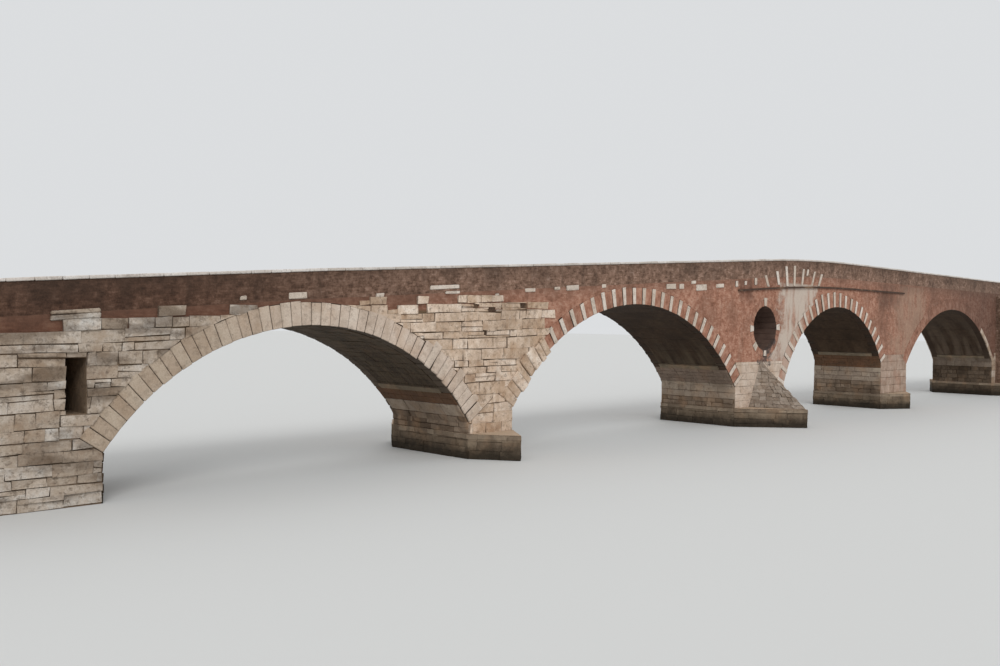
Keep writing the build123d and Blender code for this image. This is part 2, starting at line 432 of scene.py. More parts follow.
def lay_stones(name, outlines, material, height, seed, unevenness=2.0, wear=0.8, arris=2.0,
               slot="limestone", replaced=()):
    """Make one piece of many stones, each from its flat outline, with blunt arrises."""
    middle_line = Vector((0, middle_y, 0))
    points = [(corner + middle_line) * mm for outline in outlines for corner in outline]
    faces = []
    for outline in outlines:
        start = faces[-1][-1] + 1 if faces else 0
        faces.append(list(range(start, start + len(outline))))
    flat = bpy.data.meshes.new(name + "_outlines")
    flat.from_pydata(points, [], faces)
    laid = bpy.data.objects.new(name + "_outlines", flat)
    bpy.context.scene.collection.objects.link(laid)
    laying = laid.modifiers.new("Laying", "NODES")
    laying.node_group = stone_laying
    values = {"Height": height * mm, "Unevenness": unevenness * mm, "Corner wear": wear * mm}
    for key, value in {**values, "Seed": seed, "Stone": material}.items():
        set_input(laying, key, value)
    blunting = laid.modifiers.new("Blunting", "BEVEL")
    blunting.width = arris * mm
    blunting.segments = 1
    blunting.limit_method = "ANGLE"
    evaluated = laid.evaluated_get(bpy.context.evaluated_depsgraph_get())
    solid = bpy.data.meshes.new_from_object(evaluated)
    bpy.data.objects.remove(laid)
    solid.name = name
    piece = bpy.data.objects.new(name, solid)
    bpy.context.scene.collection.objects.link(piece)
    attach(piece, "root")
    if replaced:
        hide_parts(*replaced)


def face_stones(name, outlines, material, seed, relief=face_relief, bedding=face_bedding, sides=(-1, 1),
                **finish):
    """Stones bedded in the front and back faces, which stand out of them by their relief."""
    placed = on_faces(outlines, face_y - bedding, sides)
    lay_stones(name, placed, material, bedding + relief, seed, **finish)


# Materials

# Soft-edged marks: size, stretch along each axis (small draws them out), detail, and the values of
# the noise where they start and where they are full
tan_patches = (95, (1, 1, 1), 6.0, 0.47, 0.68)
stain_patches = (260, (1, 1, 1), 7.0, 0.47, 0.68)
smoke_patches = (220, (1, 1, 1), 9.0, 0.46, 0.68)
rain_runs = (60, (1, 1, 0.2), 5.0, 0.5, 0.74)
barrel_streaks = (45, (0.12, 1, 0.12), 6.0, 0.42, 0.66)
# Streaks of painted light thrown up by the river on the barrels' foot
painted_light_streaks = (60, (0.14, 1, 0.14), 6.0, 0.35, 0.62)
course_shade_stain_marks = (100, (0.4, 1, 1.5), 8.0, 0.47, 0.62)
washed_out = (70, (1, 1, 0.3), 7.0, 0.3, 0.55)

# Heights on undersides between which paler brown gives way to soot and painted shade, and heights where the
# wet and painted shade at a stone's foot fade out
pale_to_dark_heights = (300, 500)
wet_shade_heights = (45, 130)
# Along the bridge, where the darkening of its two ends and the painted shade and stains along the courses
# of its left stones start, and where they are full
left_darkening = (-4600, -5600)
right_darkening = (300, 3600)
left_course_shade_stain = (-4300, -5300)
# Rubble behind the limestone: depths under the wall's top, and where it ends in brick
core_depths = (55, 70)
core_end = (-3480, -3520)


def start_material(name, roughness, specular=0.25):
    material = bpy.data.materials.new(name)
    material.use_nodes = True
    tree = material.node_tree
    shader = tree.nodes["Principled BSDF"]
    shader.inputs["Roughness"].default_value = roughness
    shader.inputs["Specular IOR Level"].default_value = specular
    return material, tree, shader


def spread(codes, first_stop, last_stop):
    """Colour stops at even steps."""
    step = (last_stop - first_stop) / (len(codes) - 1)
    return [(first_stop + step * count, code) for count, code in enumerate(codes)]


def marks(tree, place, pattern, share=1.0, least=0.0):
    """Soft marks that cover a share of what is under them, and a lesser share between them."""
    size, stretch, detail, start, full = pattern
    drawn = add(tree, "ShaderNodeMapping", {"Vector": place, "Scale": stretch})
    cloud = add(tree, NOISE, {"Vector": drawn, "Scale": 1 / (size * mm), "Detail": detail})
    return add(tree, RANGE, [cloud, start, full, least, share], interpolation_type="SMOOTHSTEP")


def stains(tree, place, patches, share):
    """Dark patches and the runs that rain draws down from them."""
    spots, runs = (marks(tree, place, pattern, share) for pattern in (patches, rain_runs))
    return add(tree, MATH, [spots, runs], operation="MAXIMUM")


def layered(tree, base, layers):
    """A colour under layers of (share, colour), each laid over the ones before it."""
    for share, over in layers:
        over = colour(over) if isinstance(over, str) else over
        base = add(tree, MIX, {0: share, 6: base, 7: over}, 2, data_type="RGBA")
    return base


def depth_under(tree, place, corners):
    """How far a point lies under a line that bends down at each corner."""
    x, _, z = add(tree, SPLIT, [place], None).outputs
    line = None
    for (x0, z0), (x1, z1) in zip(corners, corners[1:]):
        slope = (z1 - z0) / (x1 - x0)
        rise = add(tree, MATH, [x, slope, (z0 - slope * x0) * mm], operation="MULTIPLY_ADD")
        line = add(tree, MATH, [line, rise], operation="MINIMUM") if line else rise
    return add(tree, MATH, [line, z], operation="SUBTRACT")


def darker_ends(tree, place, base, ends, left_from=left_darkening[0]):
    """Masonry that is darker towards its ends. Its shades are multiplied by a colour at each end."""
    x = add(tree, SPLIT, [place])
    for code, start, full in ((ends[0], left_from, left_darkening[1]), (ends[1], *right_darkening)):
        if code:
            share = add(tree, RANGE, [x, start * mm, full * mm], interpolation_type="SMOOTHSTEP")
            base = add(tree, MIX, {0: share, 6: base, 7: colour(code)}, 2, data_type="RGBA",
                       blend_type="MULTIPLY")
    return base


def outward_faces(tree, hidden=0.0, shown=1.0):
    """One value on faces that look away from the bridge, another on undersides and in joints."""
    normal = add(tree, COORDINATES, out="Normal")
    y = add(tree, SPLIT, [add(tree, COORDINATES, out="Object")], 1)
    side = add(tree, RANGE, [y, (middle_y - 1) * mm, (middle_y + 1) * mm, -1.0, 1.0])
    outward = add(tree, MATH, [add(tree, SPLIT, [normal], 1), side], operation="MULTIPLY")
    return add(tree, RANGE, [outward, 0.45, 0.75, hidden, shown])


def soot_and_shade_layer(tree, place, share, code):
    """Undersides and joints black with soot and painted shade, and paler brown lower down."""
    low_z, high_z = pale_to_dark_heights
    low = add(tree, RANGE, [add(tree, SPLIT, [place], 2), low_z * mm, high_z * mm])
    underside_shade = add(tree, MIX, {0: low, 6: colour("#54483b"), 7: colour(code)}, 2, data_type="RGBA")
    return outward_faces(tree, share, 0.0), underside_shade


def wash_layer(tree, place, patch):
    """A ragged patch of wash or dirt. Its middle and half width change from its foot to its top."""
    code, share, soft, (low_z, high_z), middles, halves = patch
    x, _, z = add(tree, SPLIT, [place], None).outputs
    rise = [z, low_z * mm, high_z * mm]
    axis, half = (add(tree, RANGE, [*rise, foot * mm, head * mm]) for foot, head in (middles, halves))
    cloud = add(tree, NOISE, {"Vector": place, "Scale": 1 / (210 * mm), "Detail": 9.0, "Roughness": 0.74})
    ragged = add(tree, MATH, [cloud, 0.5], operation="SUBTRACT")
    away = add(tree, MATH, [add(tree, MATH, [x, axis], operation="SUBTRACT")], operation="ABSOLUTE")
    past = add(tree, MATH, [away, half], operation="SUBTRACT")
    past = add(tree, MATH, [ragged, 0.85, past], operation="MULTIPLY_ADD")
    mask = add(tree, RANGE, [past, -soft * mm, soft * mm, share, 0.0], interpolation_type="SMOOTHSTEP")
    foot = add(tree, RANGE, [z, (low_z - 40) * mm, (low_z + 40) * mm])
    head = add(tree, RANGE, [z, (high_z - 5) * mm, (high_z + 10) * mm, 1.0, 0.0])
    for factor in (foot, head, marks(tree, place, washed_out, least=0.25)):
        mask = add(tree, MATH, [mask, factor], operation="MULTIPLY")
    return mask, code


def bump_layers(tree, shader, layers):
    """Chain bumps from (height value, depth in millimetres)."""
    normal = None
    for height, depth in layers:
        inputs = {"Height": height, "Distance": depth * mm, "Strength": 1.0}
        if normal:
            inputs["Normal"] = normal
        normal = add(tree, "ShaderNodeBump", inputs)
    tree.links.new(normal, shader.inputs["Normal"])


def stone_material(name, shades, stain, stain_share=0.4, warm="#b48f6d", warm_share=0.35, tint_share=0.4,
                   soot_and_shade=0.45, soot_and_shade_colour="#4a3a2d", ends=(None, None), wet_shade=False, streaks=0.0,
                   hollow_share=0.5, course_shade_stain=0.0, painted_top_light=None, patches=()):
    """Stone whose blocks differ in shade, with tan patches, rain stains, hollows and grain."""
    material, tree, shader = start_material(name, 0.92)
    place = add(tree, COORDINATES, out="Object")
    x, _, z = add(tree, SPLIT, [place], None).outputs
    # Mottling inside a block, pits and grain: size, detail and roughness
    mottle, pitting, grain = (
        add(tree, NOISE, {"Vector": place, "Scale": 1 / (size * mm), "Detail": detail, "Roughness": rough})
        for size, detail, rough in ((42, 6.0, 0.68), (24, 5.0, 0.75), (6, 3.0, 0.5)))
    shade = mottle
    if tint_share:
        tint = add(tree, "ShaderNodeAttribute", out="Fac", attribute_name="tint")
        shade = add(tree, MIX, {0: tint_share, 2: mottle, 3: tint})
    base = add(tree, "ShaderNodeValToRGB", [shade], stops=spread(shades, 0.24, 0.76))
    hollow, level = (
        add(tree, RANGE, [pitting, 0.5, 0.72, around, inside], interpolation_type="SMOOTHSTEP")
        for around, inside in ((0.0, hollow_share), (1.0, 0.0)))
    specks = add(tree, RANGE, [grain, 0.35, 0.75, 0.0, 0.3])
    layers = [(marks(tree, place, tan_patches, warm_share), warm),
              (stains(tree, place, stain_patches, stain_share), stain),
              (hollow, "#65503f"), (specks, "#8a7561")]
    if streaks:
        layers.append((marks(tree, place, barrel_streaks, streaks), "#5d5142"))
    base = darker_ends(tree, place, layered(tree, base, layers), ends)
    layers = []
    # Dark streaks along the courses of the left stones: painted shade under the ledges, and weathering
    # stains
    if course_shade_stain:
        left = add(tree, RANGE, [x, left_course_shade_stain[0] * mm, left_course_shade_stain[1] * mm, 0.0, course_shade_stain],
                   interpolation_type="SMOOTHSTEP")
        lines = add(tree, MATH, [marks(tree, place, course_shade_stain_marks), left], operation="MULTIPLY")
        layers.append((lines, "#594a3c"))
    layers += [wash_layer(tree, place, patch) for patch in patches]
    # Soot and painted shade on undersides and in joints, paler brown low down
    if soot_and_shade:
        layers.append(soot_and_shade_layer(tree, place, soot_and_shade, soot_and_shade_colour))
    # Wet and painted shade make the foot of the stone nearly black above the water
    if wet_shade:
        edge = add(tree, MATH, [mottle, 60 * mm, z], operation="MULTIPLY_ADD")
        wet_shade_share = add(tree, RANGE, [edge, wet_shade_heights[0] * mm, wet_shade_heights[1] * mm, 0.88, 0.0],
                   interpolation_type="SMOOTHSTEP")
        layers.append((wet_shade_share, "#231d15"))
    # Painted light: faces that look up are made lighter
    if painted_top_light:
        normal = add(tree, COORDINATES, out="Normal")
        upward = add(tree, RANGE, [add(tree, SPLIT, [normal], 2), 0.6, 0.9, 0.0, 0.85])
        layers.append((upward, painted_top_light))
    tree.links.new(layered(tree, base, layers), shader.inputs["Base Color"])
    bump_layers(tree, shader, [(mottle, 4.0), (level, 2.4), (grain, 1.2)])
    return material


def course_place(tree, place, arch=None, follows_road=False, paving=False):
    """Brick coordinates: along the courses, then across them. Paving is laid in rows across the road."""
    x, y, z = add(tree, SPLIT, [place], None).outputs
    if paving:
        run, across = y, x
    elif arch:
        from_x = add(tree, MATH, [x, arch.crown_x * mm], operation="SUBTRACT")
        from_z = add(tree, MATH, [z, arch.centre_z * mm], operation="SUBTRACT")
        turn = add(tree, MATH, [from_x, from_z], operation="ARCTAN2")
        across = add(tree, MATH, [turn, arch.radius * mm], operation="MULTIPLY")
        away = add(tree, "ShaderNodeCombineXYZ", [from_x, from_z])
        away = add(tree, VECTOR, [away], 1, operation="LENGTH")
        run = add(tree, MIX, {0: outward_faces(tree), 2: y, 3: away})
    else:
        normal = add(tree, COORDINATES, out="Normal")
        end_on = add(tree, MATH, [add(tree, SPLIT, [normal])], operation="ABSOLUTE")
        across = depth_under(tree, place, road_corners) if follows_road else z
        run = add(tree, MIX, {0: add(tree, RANGE, [end_on, 0.6, 0.61]), 2: x, 3: y})
    return add(tree, "ShaderNodeCombineXYZ", [run, across])


def brick_material(name, bricks, mortar, stain, stain_share=0.4, arch=None, follows_road=False,
                   patches=(), ends=(None, None), left_from=left_darkening[0], soot_and_shade=0.0, soot_and_shade_colour="#33271d",
                   core=False, sooty_top=None, painted_light=None, paving=False, unit=(brick_length, brick_height),
                   relief=1.0, patch_size=48):
    """Hand-made brick in lime mortar: every brick has its own shade, under soot and old wash."""
    material, tree, shader = start_material(name, 0.9)
    place = add(tree, COORDINATES, out="Object")
    x, _, z = add(tree, SPLIT, [place], None).outputs
    # Courses laid by hand wander by a few millimetres
    sway = add(tree, NOISE, {"Vector": place, "Scale": 1 / (320 * mm), "Detail": 1.0}, 1)
    sway = add(tree, VECTOR, [sway, (0.5, 0.5, 0.5)], operation="SUBTRACT")
    sway = add(tree, VECTOR, {0: sway, "Scale": 3 * mm}, operation="SCALE")
    courses = course_place(tree, place, arch, follows_road, paving)
    courses = add(tree, VECTOR, [courses, sway], operation="ADD")
    tint, bed = add(tree, "ShaderNodeTexBrick", {
        "Vector": courses, "Color1": (0, 0, 0, 1), "Color2": (1, 1, 1, 1),
        "Mortar": (0.5, 0.5, 0.5, 1), "Scale": 1.0, "Mortar Size": mortar_bed * mm / 2,
        "Mortar Smooth": 0.3, "Bias": 0.0, "Brick Width": (unit[0] + mortar_bed) * mm,
        "Row Height": (unit[1] + mortar_bed) * mm}, None).outputs
    mottle, grain = (
        add(tree, NOISE, {"Vector": place, "Scale": 1 / (size * mm), "Detail": detail, "Roughness": rough})
        for size, detail, rough in ((patch_size, 7.0, 0.7), (5, 3.0, 0.5)))
    shade = add(tree, MIX, {0: 0.12 * relief, 2: mottle, 3: tint})
    base = add(tree, "ShaderNodeValToRGB", [shade], stops=spread(bricks, 0.27, 0.73))
    gaps = add(tree, MATH, [bed, 0.3 * relief], operation="MULTIPLY")
    base = layered(tree, base, [(gaps, mortar), (stains(tree, place, smoke_patches, stain_share), stain)])
    base = darker_ends(tree, place, base, ends, left_from)
    layers = [wash_layer(tree, place, patch) for patch in patches]
    if sooty_top:
        code, share, start, end = sooty_top
        depth = depth_under(tree, place, road_corners)
        depth = add(tree, MATH, [mottle, 50 * mm, depth], operation="MULTIPLY_ADD")
        layers.append((add(tree, RANGE, [depth, start * mm, end * mm, share, 0.0]), code))
    if core:
        depth = depth_under(tree, place, [limestone_top[corner] for corner in (0, 3, 7, 9)])
        under = add(tree, RANGE, [depth, core_depths[0] * mm, core_depths[1] * mm])
        left = add(tree, RANGE, [x, core_end[0] * mm, core_end[1] * mm])
        layers.append((add(tree, MATH, [under, left], operation="MULTIPLY"), "#66543f"))
    # Soot and painted shade on undersides and in joints, paler brown low down
    if soot_and_shade:
        layers.append(soot_and_shade_layer(tree, place, soot_and_shade, soot_and_shade_colour))
    # Painted light from the river on the barrel's foot, in streaks that fade out upwards
    if painted_light:
        code, from_z, to_z = painted_light
        low = add(tree, RANGE, [z, from_z * mm, to_z * mm, 0.6, 0.0])
        lines = add(tree, MATH, [marks(tree, place, painted_light_streaks), low], operation="MULTIPLY")
        layers.append((lines, code))
    layers.append((add(tree, RANGE, [grain, 0.35, 0.75, 0.0, 0.2]), "#6f5546"))
    tree.links.new(layered(tree, base, layers), shader.inputs["Base Color"])
    raised = add(tree, MATH, [1.0, bed], operation="SUBTRACT")
    bump_layers(tree, shader, [(mottle, 2.0), (raised, 0.35 * relief), (grain, 0.4)])
    return material


# Patches of wash and dirt: colour, share, softness, heights, then the middle and the half width of
# each at its foot and at its top. First the wet run, where water leaves the round opening
wet_run = ("#4c4543", 0.95, 30, (370, 600), (-1205, -1085), (30, 52))
limewash = ("#cbbdaf", 0.95, 60, (425, 1003), (-925, -665), (140, 265))
ring_wash = ("#c2ab9b", 0.8, 60, (270, 780), (-930, -750), (130, 150))
faded_wash = ("#a58b77", 0.6, 130, (440, 1060), (1340, 1380), (340, 290))
dark_top = ("#553f35", 0.45, 120, (860, 1065), (930, 1000), (190, 290))
dark_pier = ("#5f4437", 0.5, 90, (500, 1000), (740, 820), (110, 140))
dark_run = ("#50342a", 0.6, 60, (860, 1005), (-1400, -1400), (60, 80))

# Limestone split and squared by hand: matt cream to pink blocks with tan patches and dark hollows
pale_limestone = stone_material(
    "weathered_limestone", ["#a88b73", "#cab29b", "#e2cdb9", "#f3e6d8"], "#8a6e55", 0.42, tint_share=0.3,
    hollow_share=0.6, ends=("#dde4ea", "#d9d9d9"), course_shade_stain=0.6)
# The same stone dressed smooth: greyer, even voussoirs whose undersides are black with soot and painted
# shade
voussoir_stone = stone_material(
    "dressed_limestone", ["#c1ad9c", "#d5c3b3", "#e1d3c4"], "#94806b", 0.32, warm_share=0.25,
    tint_share=0.28, soot_and_shade=0.92, soot_and_shade_colour="#3a2f24", ends=("#d9d5cd", None), hollow_share=0.16)
# Pale hard limestone of the narrow ring stones, nearly white against the brick, with undersides black with
# soot and painted shade
white_stone = stone_material(
    "white_edge_stone", ["#c9bbab", "#dacdc0", "#e6dcd1"], "#a8947f", 0.3, warm_share=0.15, soot_and_shade=0.98,
    soot_and_shade_colour="#33271d", ends=("#cfcac2", "#dcdcdc"), hollow_share=0.35)
# Limestone under old limewash: smooth and pinkish, with little change from block to block
washed_stone = stone_material(
    "limewashed_stone", ["#c2ad9b", "#d3c0af", "#e1d2c3"], "#a08773", 0.35, warm_share=0.25,
    tint_share=0.22, soot_and_shade=0.3, hollow_share=0.25, patches=(wet_run,))
# The same wash on pier 3, dirtier and pink where the brick behind it shows through
streaked_stone = stone_material(
    "streaked_limewash", ["#98806f", "#b29b8b", "#c5b1a1"], "#7c6353", 0.5, warm="#a5765f",
    warm_share=0.4, tint_share=0.3, soot_and_shade=0.3)
# Blocks inside the arches: the same stone in their shade, grey with dust
inner_stone = stone_material(
    "shaded_limestone", ["#8e7e70", "#a49484", "#b7a795"], "#6b5b4b", 0.5, warm_share=0.3,
    ends=(None, "#cbc9c8"), soot_and_shade=0.0)
# Rough old blocks low in the arches: brown, and black at their foot with wet, tide marks and painted shade
rough_stone = stone_material(
    "tide_marked_rubble", ["#5a4a3b", "#7d6c5c", "#9a8876"], "#3a2e23", 0.6, ends=("#b9b4ac", "#bdbab6"),
    soot_and_shade=0.0, wet_shade=True, hollow_share=0.7)
# Brown brick-dust render on the course under the imposts
brown_course = stone_material(
    "brown_render", ["#4f3828", "#5f4431", "#71523d"], "#3a2a1e", 0.4, warm="#8a5d40", tint_share=0.15,
    soot_and_shade=0.0, hollow_share=0.3)
# Grey-brown render in the same place in arch 2
grey_course = stone_material(
    "grey_brown_render", ["#75655a", "#867568", "#968576"], "#55483d", 0.35, warm="#8a6a52",
    tint_share=0.15, soot_and_shade=0.0, hollow_share=0.3)
# Barrel stones of arch 1, black with soot and painted shade, and streaked along the arch
sooty_shaded_stone = stone_material(
    "sooty_shaded_barrel_stone", ["#2b2319", "#382e22", "#463b2c"], "#1f1913", 0.5, warm_share=0.1, soot_and_shade=0.0,
    streaks=0.5)
# Stone of the footings: black with wet and painted shade up to the waterline and dusty above it
footing_stone = stone_material(
    "river_stained_stone", ["#5e5144", "#776857", "#8d7d6a"], "#3f3529", 0.55, warm_share=0.2,
    ends=(None, "#bcbab8"), soot_and_shade=0.0, wet_shade=True)
# Sawn slabs that close the footings: brown on their edges, with painted light on their tops
slab_stone = stone_material(
    "footing_slab_stone", ["#6f6152", "#877867", "#9c8c79"], "#4c3f34", 0.45, soot_and_shade=0.0, painted_top_light="#cdb59c")
# Rubble of the cutwaters: grey irregular stones in wide joints
cutwater_stone = stone_material(
    "grey_rubble", ["#847669", "#9c8f82", "#b3a79b"], "#5f5347", 0.42, warm_share=0.15, soot_and_shade=0.0,
    hollow_share=0.5)
# Coping: pale slabs washed by rain
coping_stone = stone_material(
    "coping_stone", ["#c4bbb2", "#d5cec7", "#e2ddd8"], "#94887d", 0.3, warm_share=0.1, soot_and_shade=0.0,
    hollow_share=0.2)
# Lime mortar and rubble behind the stones, a dull brown that shows only in the joints
core_mortar = stone_material("lime_mortar", ["#6d5b49", "#7f6c58"], "#4d3e30", 0.4, tint_share=0, soot_and_shade=0.0)
# The same mortar painted nearly black at the back of the putlog holes: painted shade
hole_shade_mortar = stone_material("shade_dark_mortar", ["#3a2a20", "#4d392c"], "#261a13", 0.5, tint_share=0, soot_and_shade=0.0)
# Imposts of dressed limestone, grey-green with damp
impost_stone = stone_material(
    "impost_stone", ["#706555", "#857967"], "#4d4232", 0.4, tint_share=0, soot_and_shade=0.0)
# The footings under their facing: dark in the joints, black with wet and painted shade at the waterline,
# and pale with painted light on top
footing_core = stone_material(
    "footing_top_stone", ["#5e5144", "#6f6152"], "#3f3529", 0.4, tint_share=0, soot_and_shade=0.0, wet_shade=True,
    painted_top_light="#bfa890")
# Brick ledge under the parapet, painted nearly black: painted shade for the shadow line under the ledge
shadow_line_brick = stone_material(
    "shadow_line_string_course", ["#3a2822", "#4a3730"], "#291c17", 0.5, tint_share=0, soot_and_shade=0.0)
# Road surface: worn grey-brown stone setts in rows across the road, with dust in their joints
road_setts = brick_material(
    "worn_setts", ["#625a51", "#7b7268", "#938a80"], "#3f3931", "#574f46", 0.35, paving=True,
    unit=sett_size, relief=2.4)

# Salmon hand-made brick in pale mortar, darker towards the right end and limewashed beside arch 3
salmon = dict(bricks=["#744a38", "#93634e", "#ab7a64", "#bd917b", "#c8a48f"], mortar="#9c7f6c",
              stain="#6b4d3e", stain_share=0.4)
wall_brick = brick_material(
    "salmon_brick", **salmon, ends=("#a3978f", "#aaacaf"), left_from=-3300,
    patches=(dark_run, faded_wash, dark_pier, dark_top, limewash, wet_run), core=True,
    sooty_top=("#5d493d", 0.5, 150, 245), patch_size=30)
# Brown parapet brick, blackest along its top and at the left end
parapet_brick = brick_material(
    "sooty_parapet_brick", ["#422c21", "#6e5343", "#977866", "#bba08f"], "#83746a", "#33271f", 0.5,
    follows_road=True, ends=("#a49891", "#f0f4f6"), left_from=-3900, sooty_top=("#43372e", 0.3, 50, 130),
    patch_size=24)
# Brick of the barrels, matt black with soot and painted shade. From arch 2 on, painted light from the river
# brightens their foot: its colour, and the heights where it is full and where it fades out
barrel_brick = dict(bricks=["#2b2016", "#3a2c1f", "#4b3b2c"], mortar="#453829", stain="#1b140d",
                    stain_share=0.45)
barrel_painted_light = [None, ("#6a5f4e", 390, 620), ("#5e4c3a", 453, 600), ("#76685a", 394, 900),
               ("#5e4c3a", 430, 700)]


# Limestone wall of arch 1 and pier 1, with its holes and the doorway recess
stone_draw = random.Random(11)
recess = rectangle(*recess_x, *recess_z)
putlog_holes = [rectangle(-3985, -3946, 750, 771), rectangle(-3880, -3830, 734, 757),
                rectangle(-3912, -3889, 616, 641), rectangle(-3650, -3592, 758, 785)]
wall_courses = coursed(left_end, limestone_end + 160, 0, 880, ashlar_course, ashlar_length,
                       stone_draw, climb=0.045, wave=4.0, split=0.13)


def limestone_edge(x):
    return along(limestone_top, x)


# The foot stones of arch 2 end unevenly, so the wall runs on behind their heads
second.ring = 82
for name, side, holes in (("front", -1, [recess, *putlog_holes]), ("back", 1, putlog_holes)):
    stones = trimmed(wall_courses, (left_end, limestone_end), limestone_edge, (first, second), holes,
                     random.Random(2 + side), wall_joint)
    face_stones(f"limestone_wall_{name}", stones, pale_limestone, 3 + side, wall_relief, wall_bedding,
                (side,), unevenness=7, wear=3.2, arris=3.8)
second.ring = ring_thickness
# Backs of the putlog holes in near-black mortar, as painted shade
face_stones("putlog_hole_backs", [inset(hole, -3) for hole in putlog_holes], hole_shade_mortar, seed=1,
            relief=0.6, bedding=inner_bedding, unevenness=0, wear=0, arris=0.1, slot="rubble")

# Faces of the other piers and the right abutment
for number, material in ((2, washed_stone), (3, streaked_stone), (4, pale_limestone)):
    left = pier_lefts[number - 1]
    right = left + pier_widths[number - 1]
    top = pier_tops[number - 1]
    rows = coursed(left, right, plinth_tops[number - 1], top, course=58, length=130, draw=stone_draw,
                   wave=1.5)
    stones = trimmed(rows, (left, right), lambda x: top, arches)
    face_stones(f"pier_{number}_face_stones", stones, material, seed=20 + number, wear=1.2)
rows = coursed(fifth.right_x, right_end, 0, abutment_height, ashlar_course, ashlar_length, stone_draw,
               wave=2.0, split=0.1)
stones = trimmed(rows, (fifth.crown_x, right_end), lambda x: abutment_height, (fifth,))
face_stones("right_abutment_stones", stones, pale_limestone, 31, wall_relief, wall_bedding,
            unevenness=3, wear=1.2)


# Rings of the arches

def ring_outline(arch, start, end, inner, outer):
    gap = joint / 2
    corners = []
    for radius, order in ((inner, 1), (outer, -1)):
        ends = [start + gap / radius, end - gap / radius]
        corners += [arch.point(radius, angle) for angle in ends[::order]]
    return corners


def even_angles(start, end, radius, width):
    count = max(1, round((end - start) * radius / width))
    return [start + (end - start) * step / count for step in range(count + 1)]


def turned_angles(arch):
    """Angles where narrow stones and brick packs meet, as the rings are built."""
    mean = arch.radius + ring_thickness / 2
    length = (arch.right_angle - arch.left_angle) * mean
    pairs = round(length / (edge_stone_width + brick_pack_width))
    widths = [edge_stone_width, brick_pack_width] * pairs + [edge_stone_width]
    turn = (arch.right_angle - arch.left_angle) / sum(widths)
    angles = [arch.left_angle]
    for width in widths:
        angles.append(angles[-1] + turn * width)
    return angles


# Arch 1: even voussoirs, and beyond an angle from the crown rough ones. How far the heads of both
# pass the ring or stop short of it
ring_draw = random.Random(5)
rough_from = 0.5
even_heads = (-3, 6)
rough_heads = (-4, 38)
angles = even_angles(first.left_angle, first.right_angle, first.radius + ring_thickness / 2, voussoir_width)
outlines = []
rough_outlines = []
for start, end in zip(angles, angles[1:]):
    rough = start > rough_from
    outer = first.radius + ring_thickness + ring_draw.uniform(*(rough_heads if rough else even_heads))
    outline = ring_outline(first, start, end, first.radius - ring_draw.uniform(0, 2), outer)
    (rough_outlines if rough else outlines).append(outline)
face_stones("arch_1_voussoirs", outlines, voussoir_stone, seed=41, relief=4, bedding=ring_depth,
            unevenness=3, arris=2.2, replaced=("ring_1_stones",))
for name, side, uneven, worn in (("front", -1, 11, 3.2), ("back", 1, 4, 1.4)):
    face_stones(f"arch_1_rough_voussoirs_{name}", rough_outlines, voussoir_stone, seed=42, relief=6,
                bedding=ring_depth, sides=(side,), unevenness=uneven, wear=worn, arris=4,
                replaced=("ring_1_stones",))

# Arch 2 starts on rough stones, then stones and brick take turns. The widths of the rough stones, how
# far they step out under the arch, less and less towards their last, and how far up they reach
foot_end = math.radians(-37)
foot_widths = (42, 72)
foot_steps = (2, 20)
foot_heads = (88, 135)
outlines = []
start = second.left_angle
while start < foot_end:
    end = start + ring_draw.uniform(*foot_widths) / (second.radius + 60)
    inner = second.radius - ring_draw.uniform(*foot_steps) * min(1, (foot_end - start) / 0.12 + 0.2)
    outer = second.radius + ring_draw.uniform(*foot_heads)
    outlines.append(ring_outline(second, start, min(end, foot_end), inner, outer))
    start = end
face_stones("arch_2_foot_stones", outlines, pale_limestone, seed=43, relief=8, bedding=ring_depth,
            unevenness=8, wear=3.2, arris=4)
# The stones of arch 3 grow longer between two angles from its crown
tall_from, tall_to, tallest = -0.75, 0.1, 30
edge_heads = (-6, 6)
for number, arch in ((2, second), (3, third)):
    angles = turned_angles(arch)
    outlines = []
    for start, end in zip(angles[::2], angles[1::2]):
        outer = arch.radius + ring_thickness + ring_draw.uniform(*edge_heads)
        if number == 3 and tall_from < start < tall_to:
            outer += tallest * math.sin(math.pi * (start - tall_from) / (tall_to - tall_from))
        if number == 3 or start > foot_end:
            outlines.append(ring_outline(arch, start, end, arch.radius - 1, outer))
    face_stones(f"arch_{number}_edge_stones", outlines, white_stone, seed=44 + number, relief=3,
                bedding=ring_depth, unevenness=3, wear=1.6, replaced=(f"ring_{number}_stones",))

# White stones at the right foot of arch 4, from an angle off its crown
right_foot_from = 0.55
foot_thickness = 45
angles = even_angles(right_foot_from, fourth.right_angle, fourth.radius + 50, width=70)
outlines = [ring_outline(fourth, start, end, fourth.radius - 1, fourth.radius + foot_thickness)
            for start, end in zip(angles, angles[1:])]
face_stones("arch_4_foot_stones", outlines, pale_limestone, seed=49, relief=4)

# White stones set in the lining of the round opening: angles from its top, and thickness
oculus = Arch(oculus_x - oculus_radius, 2 * oculus_radius, oculus_z + oculus_radius, oculus_z, oculus_z,
              oculus_z)
lining_stones = [(-6, 6, 60), (80, 94, 45), (-98, -84, 45), (-142, -126, 50), (174, 186, 40)]
outlines = [ring_outline(oculus, math.radians(start), math.radians(end), oculus_radius,
                         oculus_radius + thickness) for start, end, thickness in lining_stones]
face_stones("oculus_white_stones", outlines, white_stone, seed=50)

